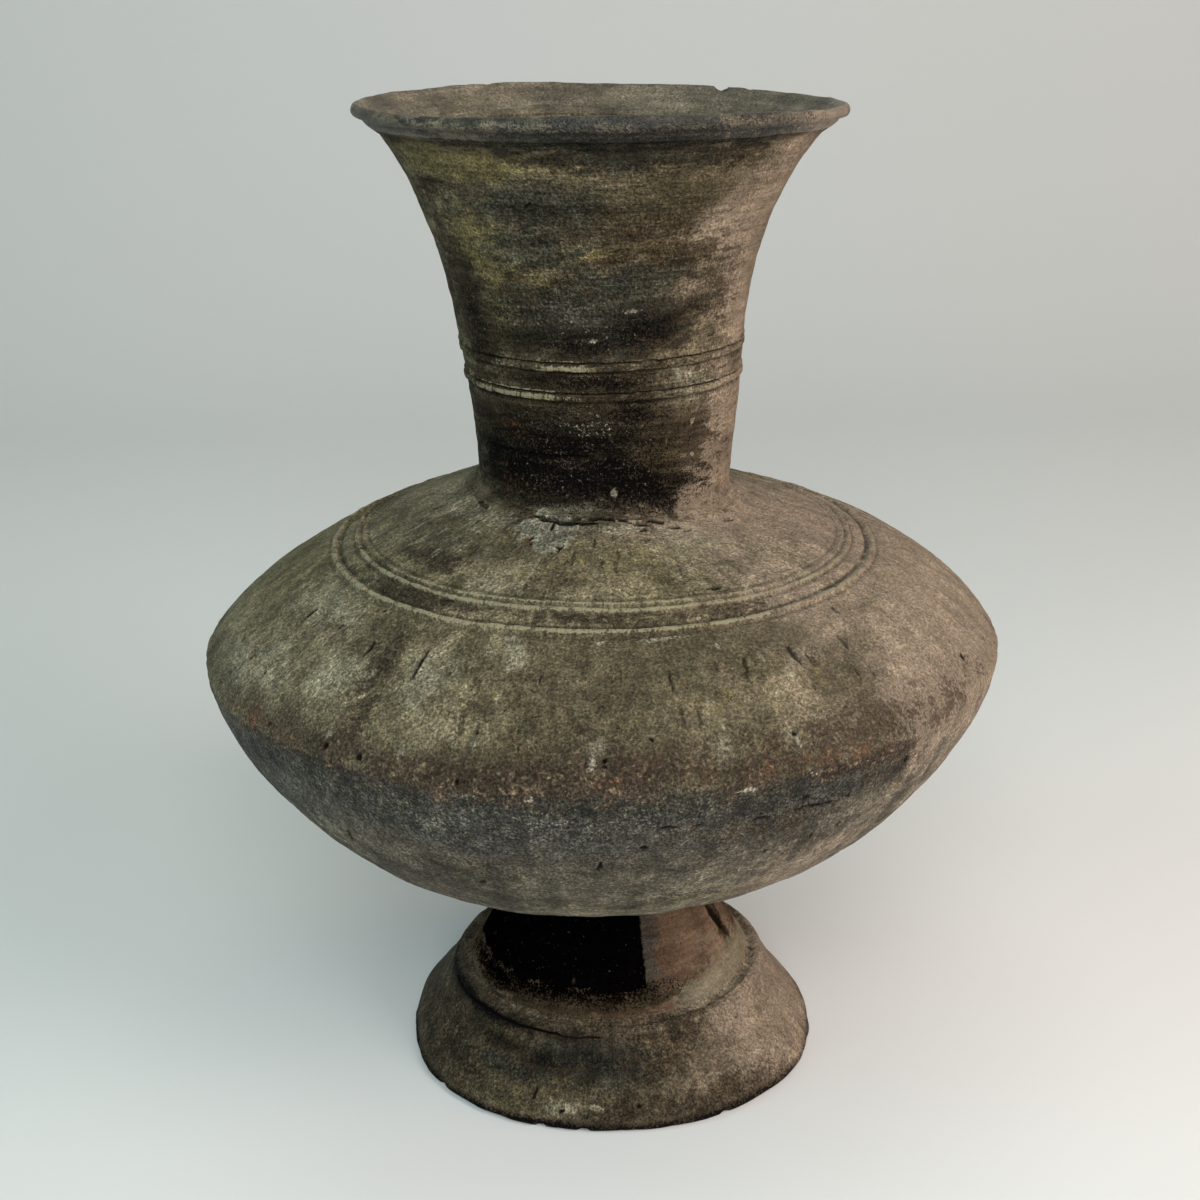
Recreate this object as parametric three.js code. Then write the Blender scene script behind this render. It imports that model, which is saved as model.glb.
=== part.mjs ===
// A pedestalled earthenware bottle: a flattened round body on a hollow two-stage foot, with a
// trumpet neck that ends in a rolled lip. Each mesh is one piece of clay that was shaped by itself
// and luted to the next. Millimetres, +Z up, origin in the middle of the foot's resting edge.
import * as THREE from "three";

// Heights of the stages, from the table up: skirt, stem, bowl, shoulder, neck and lip.
const skirtHeight = 24.3;
const stemHeight = 37.4;
const bowlHeight = 78.3;
const shoulderHeight = 49.7;
const neckHeight = 102.3;
const lipHeight = 8;

// Outside radii.
const footRadius = 68;
const ledgeRadius = 53;
const stemBaseRadius = 47;
const stemTopRadius = 33;
const bellyRadius = 122.4;
const neckRadius = 38.5;
const mouthRadius = 63.5;
const lipRadius = 72.5;

// How the body curves above and below its widest ring: the spread is how soon each form leaves the
// ring, the roundness how tightly it turns there.
const shoulderSpread = 1.2;
const shoulderRoundness = 0.667;
const bowlSpread = 1.8;
const bowlRoundness = 0.61;

// How the neck and the stem widen: an even taper, then a power of the height.
const neckTaper = 7;
const mouthPower = 4;
const stemPower = 1.8;

// Walls. The neck's and the stem's are measured level, the body's square to its ring and axis.
const neckWall = 5;
const shoulderWall = 5.5;
const bowlWall = 6.5;
const stemWall = 7;
const skirtWall = 7.5;

// The foot's rounded lip and the step above its skirt.
const footLipHeight = 4;
const footLipInset = 2.6;
const footEdgeRound = 1.2;
const ledgeThickness = 3.3;

// The rolled lip.
const lipRound = 1.8;
const lipFlat = 3.4;
const lipInnerDrop = 3;
const lipInnerInset = 9.5;

// The cordons, each bedded in a shallow groove. On the neck the lower one is placed by its rise from
// the neck's seat, on the shoulder the inner one by how far out it lies from the neck.
const grooveDepth = 1;
const cordonRelief = 0.9;
const cordonRounding = 0.28;
const bedClearance = 0.3;
const neckCordonWidth = 4.6;
const neckCordonRise = 33.9;
const neckCordonSpacing = 8.7;
const innerCordonWidth = 7.2;
const outerCordonWidth = 4;
const shoulderCordonReach = 36.1;
const shoulderCordonSpacing = 10.6;

// The fillet of luting clay around the neck's base.
const lutingHeight = 5.5;
const lutingWidth = 8;
const lutingHollow = 0.32;

// Faceting.
const turnSegments = 48;
const bodyStep = 0.16;
const neckStep = 13;
const stemSteps = 5;
const lipSteps = 11;

// Heights above the table.
const stemSeat = skirtHeight;
const bowlSeat = stemSeat + stemHeight;
const bellySeat = bowlSeat + bowlHeight;
const neckSeat = bellySeat + shoulderHeight;
const lipSeat = neckSeat + neckHeight;
const rimTop = lipSeat + lipHeight;

const fired = (color, roughness) => new THREE.MeshStandardMaterial({ color, roughness, metalness: 0 });

const point = (radius, height) => new THREE.Vector2(radius, height);

// Evenly spread values from one to another, both included.
function spread(from, to, steps) {
  return Array.from({ length: steps + 1 }, (_, i) => from + ((to - from) * i) / steps);
}

// A piece turned about the axis. Its section runs up the outside and down the inside, and is
// closed here unless it starts and ends on the axis.
function turned(name, section, material) {
  const profile = section[0].x === 0 ? section : [...section, section[0]];
  const geometry = new THREE.LatheGeometry(profile, turnSegments);
  geometry.rotateX(Math.PI / 2);
  const mesh = new THREE.Mesh(geometry, material);
  mesh.name = name;
  return mesh;
}

// Half of the body. Its reach is how far it would run to the axis, were it not cut off at a height
// and a radius to seat what joins it there.
function bodyForm(height, radius, spread, roundness) {
  const share = (1 - (radius / bellyRadius) ** spread) ** roundness;
  return { reach: height / share, spread, roundness };
}

const shoulderForm = bodyForm(shoulderHeight, neckRadius, shoulderSpread, shoulderRoundness);
const bowlForm = bodyForm(-bowlHeight, stemTopRadius, bowlSpread, bowlRoundness);

// A point of the body's outside at a radius, or of its inside when a wall is given.
function bodyPoint(form, radius, wall = 0) {
  const across = Math.min(1, radius / (bellyRadius - wall));
  const reach = form.reach - Math.sign(form.reach) * wall;
  return point(radius, bellySeat + reach * (1 - across ** form.spread) ** form.roundness);
}

// The body's line between two radii, with shorter steps where it turns at the widest ring.
function bodyLine(form, from, to, wall = 0) {
  const full = bellyRadius - wall;
  const start = Math.acos(from / full);
  const end = Math.acos(to / full);
  const steps = Math.ceil(Math.abs(end - start) / bodyStep);
  return spread(start, end, steps).map((angle) => bodyPoint(form, full * Math.cos(angle), wall));
}

// A point of the neck's outside at a height, or of its inside when a wall is given.
function neckPoint(height, wall = 0) {
  const share = (height - neckSeat) / neckHeight;
  const flare = mouthRadius - neckRadius - neckTaper;
  return point(neckRadius + neckTaper * share + flare * share ** mouthPower - wall, height);
}

function neckLine(from, to, wall = 0) {
  const steps = Math.ceil(Math.abs(to - from) / neckStep);
  return spread(from, to, steps).map((height) => neckPoint(height, wall));
}

// An outside line with a groove for each cordon on it, sunk by the given shift.
function groovedLine(line, pointAt, from, to, grooves, shift) {
  const points = [];
  let start = from;
  for (const [enter, leave] of grooves) {
    points.push(...line(start, enter));
    points.push(pointAt(enter).add(shift), pointAt(leave).add(shift));
    start = leave;
  }
  return [...points, ...line(start, to)];
}

// The two ends of a band about its middle.
function around(middle, width) {
  return [middle - width / 2, middle + width / 2];
}

// A cordon bedded in its groove, clear of the groove's floor and sides.
function cordon(name, pointAt, [enter, leave], outward, material) {
  const inset = Math.sign(leave - enter) * bedClearance;
  const from = enter + inset;
  const to = leave - inset;
  const rounding = (to - from) * cordonRounding;
  const raised = (at, height) => pointAt(at).addScaledVector(outward, height);
  const floor = bedClearance - grooveDepth;
  const section = [
    raised(from, floor),
    pointAt(from),
    raised(from + rounding, cordonRelief),
    raised(to - rounding, cordonRelief),
    pointAt(to),
    raised(to, floor),
  ];
  return turned(name, section, material);
}

// The skirt of the foot: a rounded lip on the table, a slope, and the step the stem stands on.
function footSkirt() {
  const section = [
    point(footRadius - footEdgeRound, 0),
    point(footRadius, footEdgeRound),
    point(footRadius - footEdgeRound, footLipHeight - footEdgeRound),
    point(footRadius - footLipInset, footLipHeight),
    point(ledgeRadius, skirtHeight - ledgeThickness),
    point(ledgeRadius, skirtHeight),
    point(stemBaseRadius - stemWall, skirtHeight),
    point(footRadius - skirtWall, 0),
  ];
  return turned("foot_skirt", section, fired(0x6a6152, 0.85));
}

// The stem of the foot, waisted towards the bowl that stands on it.
function footStem() {
  const stemPoint = (height, wall = 0) => {
    const share = (bowlSeat - height) / stemHeight;
    const radius = stemTopRadius + (stemBaseRadius - stemTopRadius) * share ** stemPower;
    return point(radius - wall, height);
  };
  const outside = spread(stemSeat, bowlSeat, stemSteps).map((height) => stemPoint(height));
  const inside = spread(bowlSeat, stemSeat, stemSteps).map((height) => stemPoint(height, stemWall));
  return turned("foot_stem", [...outside, ...inside], fired(0x463f38, 0.7));
}

// The radius at which the inside of the bowl has come down to its floor.
function bowlFloorRadius() {
  const share = (bowlHeight - bowlWall) / (-bowlForm.reach - bowlWall);
  const across = 1 - share ** (1 / bowlForm.roundness);
  return (bellyRadius - bowlWall) * across ** (1 / bowlForm.spread);
}

// The lower half of the body, with a flat floor over the stem.
function lowerBowl() {
  const section = [
    point(0, bowlSeat),
    ...bodyLine(bowlForm, stemTopRadius, bellyRadius),
    ...bodyLine(bowlForm, bellyRadius - bowlWall, bowlFloorRadius(), bowlWall),
    point(0, bowlSeat + bowlWall),
  ];
  return turned("lower_bowl", section, fired(0x5d5c58, 0.88));
}

// Where each shoulder cordon's groove starts and ends, outer radius first.
const innerCordonRadius = neckRadius + shoulderCordonReach;
const shoulderGrooves = {
  shoulder_cordon_outer: around(innerCordonRadius + shoulderCordonSpacing, -outerCordonWidth),
  shoulder_cordon_inner: around(innerCordonRadius, -innerCordonWidth),
};

const shoulderPoint = (radius) => bodyPoint(shoulderForm, radius);

// The upper half of the body, from the widest ring to the flat that the neck stands on.
function shoulder() {
  const line = (from, to) => bodyLine(shoulderForm, from, to);
  const grooves = Object.values(shoulderGrooves);
  const shift = point(0, -grooveDepth);
  const neckBore = neckRadius - neckWall;
  const section = [
    ...groovedLine(line, shoulderPoint, bellyRadius, neckRadius, grooves, shift),
    point(neckBore, neckSeat),
    ...bodyLine(shoulderForm, neckBore, bellyRadius - shoulderWall, shoulderWall),
  ];
  return turned("shoulder", section, fired(0x85796a, 0.88));
}

// Where each neck cordon's groove starts and ends, lower height first.
const lowerCordonHeight = neckSeat + neckCordonRise;
const neckGrooves = {
  neck_cordon_lower: around(lowerCordonHeight, neckCordonWidth),
  neck_cordon_upper: around(lowerCordonHeight + neckCordonSpacing, neckCordonWidth),
};

// The neck, which thins a little as it flares to the mouth.
function neck() {
  const grooves = Object.values(neckGrooves);
  const outside = groovedLine(neckLine, neckPoint, neckSeat, lipSeat, grooves, point(-grooveDepth, 0));
  return turned("neck", [...outside, ...neckLine(lipSeat, neckSeat, neckWall)], fired(0x4b463c, 0.75));
}

// The fillet of luting clay between the neck and the shoulder, clear of both.
function neckLuting() {
  const outer = neckRadius + lutingWidth;
  const top = neckSeat + lutingHeight;
  const onBed = (radius) => shoulderPoint(radius).add(point(0, bedClearance));
  const inner = neckPoint(top).x + bedClearance;
  const section = [
    onBed(outer),
    point(inner + lutingWidth * lutingHollow, neckSeat + lutingHeight * lutingHollow),
    point(inner, top),
    onBed(inner),
    onBed((inner + outer) / 2),
  ];
  return turned("neck_luting", section, fired(0x7b776d, 0.9));
}

// The rolled lip, a coil laid on the neck's flat top.
function rimCoil() {
  const outline = new THREE.SplineCurve([
    point(mouthRadius, lipSeat),
    point(lipRadius - lipFlat, rimTop - lipFlat),
    point(lipRadius, rimTop - lipRound),
    point(lipRadius - lipFlat, rimTop),
    point(lipRadius - lipInnerInset, rimTop - lipInnerDrop),
    point(mouthRadius - neckWall, lipSeat),
  ]);
  return turned("rim_coil", outline.getPoints(lipSteps), fired(0x5b564a, 0.6));
}

const bottle = new THREE.Group();
bottle.add(footSkirt(), footStem(), lowerBowl(), shoulder(), neckLuting(), neck(), rimCoil());
for (const [name, groove] of Object.entries(shoulderGrooves)) {
  bottle.add(cordon(name, shoulderPoint, groove, point(0, 1), fired(0x968c78, 0.85)));
}
for (const [name, groove] of Object.entries(neckGrooves)) {
  bottle.add(cordon(name, neckPoint, groove, point(1, 0), fired(0x8b836e, 0.8)));
}

export default bottle;
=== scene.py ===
"""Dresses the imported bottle. Every solid of the frame is replaced by a finely modelled skin of the
same piece, with the unevenness, the tool marks, the wear and the firing stains of old hand-built
earthenware. Lengths are in millimetres until a mesh is made, which is in metres. Angles in the
tables are in degrees to the right of the pot's front."""
import itertools
from math import cos, pi, radians, sin

import bmesh
import bpy
import numpy as np
from mathutils import Matrix, Vector


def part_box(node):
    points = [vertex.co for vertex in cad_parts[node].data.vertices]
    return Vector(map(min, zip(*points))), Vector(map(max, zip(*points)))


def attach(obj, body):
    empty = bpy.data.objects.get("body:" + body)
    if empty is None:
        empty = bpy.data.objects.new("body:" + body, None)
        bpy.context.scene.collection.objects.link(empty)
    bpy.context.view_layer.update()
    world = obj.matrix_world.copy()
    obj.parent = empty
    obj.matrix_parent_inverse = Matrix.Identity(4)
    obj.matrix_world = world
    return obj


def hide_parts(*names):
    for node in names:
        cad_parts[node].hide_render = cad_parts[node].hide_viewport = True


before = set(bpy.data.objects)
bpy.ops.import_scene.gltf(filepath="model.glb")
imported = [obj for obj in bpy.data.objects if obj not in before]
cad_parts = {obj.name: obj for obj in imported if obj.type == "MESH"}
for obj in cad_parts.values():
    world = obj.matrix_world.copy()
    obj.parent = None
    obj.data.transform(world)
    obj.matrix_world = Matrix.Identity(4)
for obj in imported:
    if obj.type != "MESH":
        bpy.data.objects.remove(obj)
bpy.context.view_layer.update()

MM = 0.001


def low(node):
    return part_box(node)[0][2] / MM


def high(node):
    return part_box(node)[1][2] / MM


def reach(node):
    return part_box(node)[1][0] / MM


# Heights and radii of the frame's solids.
FOOT_R = reach("foot_skirt")
LEDGE_Z = high("foot_skirt")
BOWL_Z = low("lower_bowl")
BELLY_R = reach("lower_bowl")
BELLY_Z = high("lower_bowl")
NECK_Z = low("neck")
LIP_Z = low("rim_coil")
# Sizes that the boxes of the frame's solids don't show.
STEM_TOP_R = 33.0
STEM_FLARE = 14.0
STEM_CURVE = 1.8
NECK_R = 38.5
NECK_TAPER = 7.0
NECK_FLARE = 18.0
NECK_CURVE = 4
LUTING_WIDTH = 7
NECK_WALL = 5.0
SHOULDER_WALL = 5.5
BOWL_WALL = 6.5
# How deep the cordons' grooves are, and the gap between a cordon and the bottom of its groove.
NECK_GROOVE = 1.3
SHOULDER_GROOVE = 1.6
GROOVE_GAP = 0.3
# The neck is this much slimmer at its base than the plain taper, and less and less so between
# two heights.
NECK_PINCH = 1.0
PINCH_Z = (190, 238)
# How far above the piece below them the lines of the stem and the neck start, and how far below the
# lip the line of the mouth's inside does.
STEM_START = 1.2
NECK_START = 1.4
MOUTH_START = 0.6
# How many points the lines of the stem, of each half of the body and of the neck have.
STEM_POINTS = 40
BODY_POINTS = 120
NECK_POINTS = 80

# Noise, the same on every run.


class Noise:
    """Smooth noise in space, from -1 to 1."""

    def __init__(self, seed):
        rng = np.random.default_rng(seed)
        self.order = rng.permutation(256)
        self.value = rng.uniform(-1, 1, 256)

    def __call__(self, points, size):
        """size is the width of a lump, or one width for each axis."""
        cell = points / np.asarray(size, float) + 4096.0
        corner_low = np.floor(cell).astype(np.int64)
        part = cell - corner_low
        part = part * part * (3 - 2 * part)
        total = np.zeros(len(points))
        for corner in itertools.product((0, 1), repeat=3):
            at = corner_low + np.array(corner)
            key = self.order[at[:, 0] & 255]
            key = self.order[(key + at[:, 1]) & 255]
            key = self.order[(key + at[:, 2]) & 255]
            weight = np.prod(np.where(corner, part, 1 - part), axis=1)
            total += weight * self.value[key]
        return total


lumps = Noise(11)
grit = Noise(23)
drift = Noise(37)


def smooth(start, end, x):
    """0 below start, 1 above end, and an even S between them."""
    t = np.clip((x - start) / (end - start), 0, 1)
    return t * t * (3 - 2 * t)


def bump(x, middle, width):
    """A rounded hump, 1 at the middle."""
    return np.exp(-(((x - middle) / width) ** 2))


# The outline: a line from the foot's resting edge up over the lip and down the mouth's inside.


def body_line(height, radius, spread, roundness, angles):
    """Half of the body's outline: radii and heights over the widest ring."""
    rise = height / (1 - (radius / BELLY_R) ** spread) ** roundness
    r = BELLY_R * np.cos(angles)
    return r, BELLY_Z + rise * (1 - (r / BELLY_R) ** spread) ** roundness


def neck_line(z):
    share = (z - NECK_Z) / (LIP_Z - NECK_Z)
    pinch = NECK_PINCH * (1 - smooth(*PINCH_Z, z))
    return NECK_R + NECK_TAPER * share + NECK_FLARE * share ** NECK_CURVE - pinch


# Height over the widest ring, radius at the far end, and two exponents that shape the curve.
BOWL = (BOWL_Z - BELLY_Z, STEM_TOP_R, 1.8, 0.61)
SHOULDER = (NECK_Z - BELLY_Z, NECK_R, 1.2, 0.667)
# Radii and heights of the skirt with its ridge, of the fillet under the neck, and of the lip.
SKIRT_LINE = [
    (FOOT_R - 1.1, 0), (FOOT_R + 0.5, 1.4), (FOOT_R - 0.7, 3.2), (65.9, 5.0), (64.2, 7.0), (61.8, 9.5),
    (59.2, 12.5), (56.6, 16.0), (54.0, 19.4), (52.4, 21.4), (52.1, 22.7), (51.1, 24.2), (49.6, 24.9),
    (48.2, 24.4), (47.2, 24.2)]
FILLET_LINE = [(42.4, 188.9), (40.0, 190.1), (38.8, 191.6), (38.0, 194.0)]
LIP_LINE = [
    (66.2, 293.7), (67.9, 295.0), (68.4, 296.1), (69.6, 296.1), (70.8, 296.7), (71.2, 297.8), (71.0, 299.0),
    (70.2, 299.8), (68.9, 299.9), (67.4, 299.0), (64.6, 296.5), (61.4, 293.9), (59.2, 292.1)]
# Radii and heights of the hollow in the foot, downwards through the stem and through the skirt.
STEM_HOLLOW = [(26, BOWL_Z), (27, 52), (30.5, 41), (35, 32), (40, LEDGE_Z)]
SKIRT_HOLLOW = [(40, LEDGE_Z), (46, 17), (53, 8), (58.5, 0.4), (59.5, 0), (FOOT_R - 3.5, 0)]

# The spacing of the outline's points. Its corners are rounded off over a few of them.
OUTLINE_STEP = 0.1
ROUNDING = 4.0
ROUNDING_REACH = 12


def legs_of_outline():
    """The outline's lines in order: the name of each one's piece, with its radii and heights."""
    legs = [("foot_skirt", *zip(*SKIRT_LINE))]
    z = np.linspace(LEDGE_Z + STEM_START, BOWL_Z, STEM_POINTS)
    share = (BOWL_Z - z) / (BOWL_Z - LEDGE_Z)
    legs.append(("foot_stem", STEM_TOP_R + STEM_FLARE * share ** STEM_CURVE, z))
    end = np.arccos(STEM_TOP_R / BELLY_R)
    legs.append(("lower_bowl", *body_line(*BOWL, np.linspace(end, 0, BODY_POINTS))))
    end = np.arccos((NECK_R + LUTING_WIDTH) / BELLY_R)
    legs.append(("shoulder", *body_line(*SHOULDER, np.linspace(0, end, BODY_POINTS)[1:])))
    legs.append(("neck_luting", *zip(*FILLET_LINE)))
    z = np.linspace(FILLET_LINE[-1][1] + NECK_START, LIP_Z, NECK_POINTS)
    legs.append(("neck", neck_line(z), z))
    legs.append(("rim_coil", *zip(*LIP_LINE)))
    z = np.linspace(LIP_Z - MOUTH_START, NECK_Z, NECK_POINTS)
    legs.append(("neck_inside", neck_line(z) - NECK_WALL, z))
    return legs


def outline():
    """Places along the outline, their radii and heights, and the place where each piece starts."""
    legs = legs_of_outline()
    line = np.concatenate([np.column_stack([r, z]) for _, r, z in legs])
    along = np.concatenate([[0], np.cumsum(np.hypot(*np.diff(line, axis=0).T))])
    counts = np.cumsum([0] + [len(r) for _, r, _ in legs[:-1]])
    starts = {name: along[count] for (name, _, _), count in zip(legs, counts)}
    starts["end"] = along[-1]

    fine = np.arange(0, along[-1], OUTLINE_STEP)
    kernel = np.exp(-((np.arange(-ROUNDING_REACH, ROUNDING_REACH + 1) / ROUNDING) ** 2))
    kernel /= kernel.sum()
    rounded = []
    for values in (np.interp(fine, along, line[:, 0]), np.interp(fine, along, line[:, 1])):
        padded = np.pad(values, ROUNDING_REACH, mode="reflect", reflect_type="odd")
        rounded.append(np.convolve(padded, kernel, "valid"))
    return fine, *rounded, starts


LINE_S, LINE_R, LINE_Z, START = outline()
# Which way the outline's surface faces: outwards, and up.
_run = np.hypot(np.gradient(LINE_R), np.gradient(LINE_Z))
LINE_NR = np.gradient(LINE_Z) / _run
LINE_NZ = -np.gradient(LINE_R) / _run


def stretch_of(piece):
    """The places along the outline that belong to a piece."""
    names = list(START)
    after = START[names[names.index(piece) + 1]]
    return np.where((LINE_S >= START[piece]) & (LINE_S <= after))[0]


def s_at_height(piece, height):
    inside = stretch_of(piece)
    return LINE_S[inside[np.argmin(abs(LINE_Z[inside] - height))]]


def s_at_radius(piece, radius):
    inside = stretch_of(piece)
    return LINE_S[inside[np.argmin(abs(LINE_R[inside] - radius))]]


# Where the cordons and the body's seam lie along the outline, and half of each cordon's width.
LOWER_CORDON = s_at_height("neck", 224.3)
UPPER_CORDON = s_at_height("neck", 233.3)
NECK_CORDON_HALF = 2.3
OUTER_CORDON = s_at_radius("shoulder", 82.4)
INNER_CORDON = s_at_radius("shoulder", 73.9)
OUTER_HALF = 2.7
INNER_HALF = 3.6
SEAM = START["shoulder"]
# The shoulder's rings lie off centre: lower on the front than at the sides. What lies below and above
# them moves along with them, less and less over these two stretches.
RING_DROP = 2.4
RING_SLANT = 0.6
RING_BLEND_BELOW = (14, 3)
RING_BLEND_ABOVE = (3, 9)

# Marks on the clay.

# Cuts left by burnt-out straw and by the tool, and cracks, by piece: angle, height, length, width,
# depth, and lean from upright in degrees.
SLITS = {
    "shoulder": [
        (-60.3, 163.8, 5.4, 2.1, 1.6, 2), (-50.6, 164.6, 1.8, 1.4, 1.2, 0),
        (-50.2, 162.6, 3.4, 0.9, 0.6, 0), (-41, 163.1, 5.4, 1.5, 1.2, -2),
        (-30, 162.8, 10.5, 1.1, 1.4, -1), (-9.7, 162.7, 3.2, 0.7, 0.6, 0), (2.5, 162.9, 4.5, 0.6, 0.3, 0),
        (10.2, 161.6, 7.5, 0.9, 0.6, 0), (22.6, 162.6, 6, 1.2, 0.6, 7), (22, 160.4, 4, 0.9, 0.4, -12),
        (31.3, 162.6, 6.3, 1.7, 0.7, -3), (41.5, 162.3, 5, 1.2, 0.5, 0), (49, 162, 4, 1, 0.3, 0),
        (-18.4, 187, 3.6, 1, 1.1, -10), (-63, 152.2, 2.6, 1.2, 1, 20), (9, 173.2, 9, 0.8, 0.6, 92),
        (31, 186.9, 2.8, 0.8, 0.7, 80), (14.5, 185.5, 3, 0.8, 0.6, 60), (55, 187.6, 5, 0.8, 0.7, 95),
        (-56, 188.6, 7, 1.4, 0.9, 94), (-26.5, 188.5, 5, 1.5, 1.2, 82), (-20.5, 188.2, 7, 2, 1.5, 98),
        (-13.5, 188, 6.5, 2.4, 1.7, 86), (-10.2, 188.5, 2.4, 1.6, 1.5, 12),
        (-5, 188.5, 6.5, 2.3, 1.6, 74), (1, 188.9, 5, 1.8, 1.5, 96), (8, 188.6, 4, 1.2, 1, 100),
        (15, 188.4, 6, 1.8, 1.4, 76), (20.5, 188.8, 5, 1.8, 1.4, 96), (14.5, 187.2, 3, 1.2, 1, 60),
        (26.5, 187.6, 4.5, 1.2, 1, 88),
    ],
    "lower_bowl": [
        (7.9, 129.3, 5, 0.9, 0.9, 88), (11.7, 129.2, 2.6, 0.8, 0.8, 96), (20, 128, 4.4, 1, 0.9, 93),
        (27.7, 128, 12.5, 1.2, 1.3, 90), (33, 128.3, 2.2, 0.9, 0.9, 90), (-1, 115.7, 5, 1.1, 0.9, 8),
        (-39.5, 113, 6, 1.4, 0.8, 12), (29.5, 115.5, 3, 1.2, 0.7, -15),
    ],
    "neck": [
        (-34, 206.1, 38, 1.3, 0.6, 90), (57, 210.3, 3.4, 0.8, 0.6, 92), (-20.5, 277.6, 3, 0.9, 0.6, 66),
    ],
    "foot_skirt": [
        (-46, 22.7, 52, 1.2, 1.2, 90), (-12, 22.5, 16, 0.7, 0.7, 90), (-22, 8.5, 3.8, 1, 0.7, 6),
        (-13.5, 5.6, 2, 1.1, 0.8, 70),
    ],
    "foot_stem": [(70.5, 41, 19, 3.4, 0.7, -28)],
}

# Round losses by piece: angle, height, radius, depth.
PITS = {
    "shoulder": [
        (25.2, 176.5, 0.95, 1.4), (26.4, 176.6, 0.85, 1.3), (23.9, 176.5, 0.6, 0.7),
        (-13, 184, 1.15, 1.4), (-13.2, 183.4, 0.6, 1), (-14.9, 183, 0.5, 0.6), (-23.4, 185, 0.8, 0.9),
        (-22.6, 184.2, 0.6, 0.6), (-71.8, 175.2, 0.9, 0.7), (52, 171, 0.9, 1), (-57.2, 151.5, 1.1, 1.1),
        (-46.5, 169.2, 0.6, 0.8), (-45, 169.3, 0.7, 0.8), (6.2, 151.8, 0.7, 0.6), (0, 148.2, 0.75, 1.2),
        (0.1, 147, 0.6, 0.8), (25.3, 149.2, 0.8, 1.1), (-16.8, 152.4, 0.6, 0.8), (62.5, 149, 1.2, 0.7),
        (-38, 144, 1.1, 1.2), (-32.2, 143.7, 1, 1.1), (-66.5, 143.6, 1, 1), (-49.5, 143.4, 0.8, 0.9),
        (-18, 142.2, 0.8, 0.9),
    ],
    "lower_bowl": [
        (4.8, 122.4, 1.1, 0.9), (-18.3, 106.5, 1.2, 0.7), (34, 117, 1.1, 0.9), (22.5, 114.5, 1, 0.7),
        (43, 133, 1.2, 0.9), (-52, 121, 1.1, 0.8), (26, 131.5, 0.9, 0.8),
    ],
    "foot_skirt": [
        (8, 7, 0.8, 0.6), (-18.8, 1.4, 2.6, 1.2), (-7.1, 1, 2.2, 1), (31, 0.8, 2, 0.8),
        (-52, 0.8, 2.2, 0.9),
    ],
    "rim_coil": [(-149, 299.6, 2.2, 1.2), (146, 299.6, 3, 1.5), (138, 299.6, 1.8, 1)],
}

# Marks whose half size is below this get closer rows and columns. Wider pits are not painted dark with shade
# and dirt.
NARROW = 1.3

# The crests of the cordons: cordon, how far up from its middle, half width, height.
CRESTS = [
    (LOWER_CORDON, -0.5, 1.15, 0.75),
    (LOWER_CORDON, 1.3, 0.35, 0.45),
    (UPPER_CORDON, -0.8, 1.2, 0.8),
    (UPPER_CORDON, 1.25, 0.45, 0.55),
    (OUTER_CORDON, 0, 1.15, 0.95),
    (INNER_CORDON, -1.5, 0.95, 0.85),
    (INNER_CORDON, 0.8, 0.6, 0.5),
]
# The furrows beside them: cordon, how far up from its middle, width, depth, and how dark they are painted
# with shade and dirt.
FURROWS = [
    (LOWER_CORDON, -2.0, 0.45, 0.4, 0.6),
    (LOWER_CORDON, 0.8, 0.28, 0.5, 0.85),
    (UPPER_CORDON, -2.3, 0.45, 0.4, 0.6),
    (UPPER_CORDON, 0.65, 0.28, 0.5, 0.85),
    (OUTER_CORDON, -1.8, 0.6, 0.35, 0.3),
    (OUTER_CORDON, 1.9, 0.8, 0.6, 0.7),
    (INNER_CORDON, -2.7, 0.6, 0.4, 0.4),
    (INNER_CORDON, -0.2, 0.4, 0.35, 0.4),
    (INNER_CORDON, 2.2, 0.5, 0.35, 0.4),
]

# The clay's unevenness all over: how high its lumps are, how wide, and the noise and the shift that
# make them.
UNEVEN = [
    (0.5, 44.0, lumps, 0),
    (0.25, 16.0, lumps, 70),
    (0.13, 6.0, grit, 0),
    (0.09, 2.8, grit, 90),
    (0.05, 1.6, grit, 40),
]
# How far the crust by the neck stands proud.
CRUST_HEIGHT = 0.3


def flat(table):
    """A table's marks in one list, each with its piece in front."""
    return [(piece, *mark) for piece, marks in table.items() for mark in marks]


def offsets(theta, s, piece, degrees, height):
    """How far points lie to the right of a mark and up the outline from it."""
    mark_s = s_at_height(piece, height)
    turn = (theta - radians(degrees) + pi) % (2 * pi) - pi
    return turn * np.interp(mark_s, LINE_S, LINE_R), s - mark_s


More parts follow.
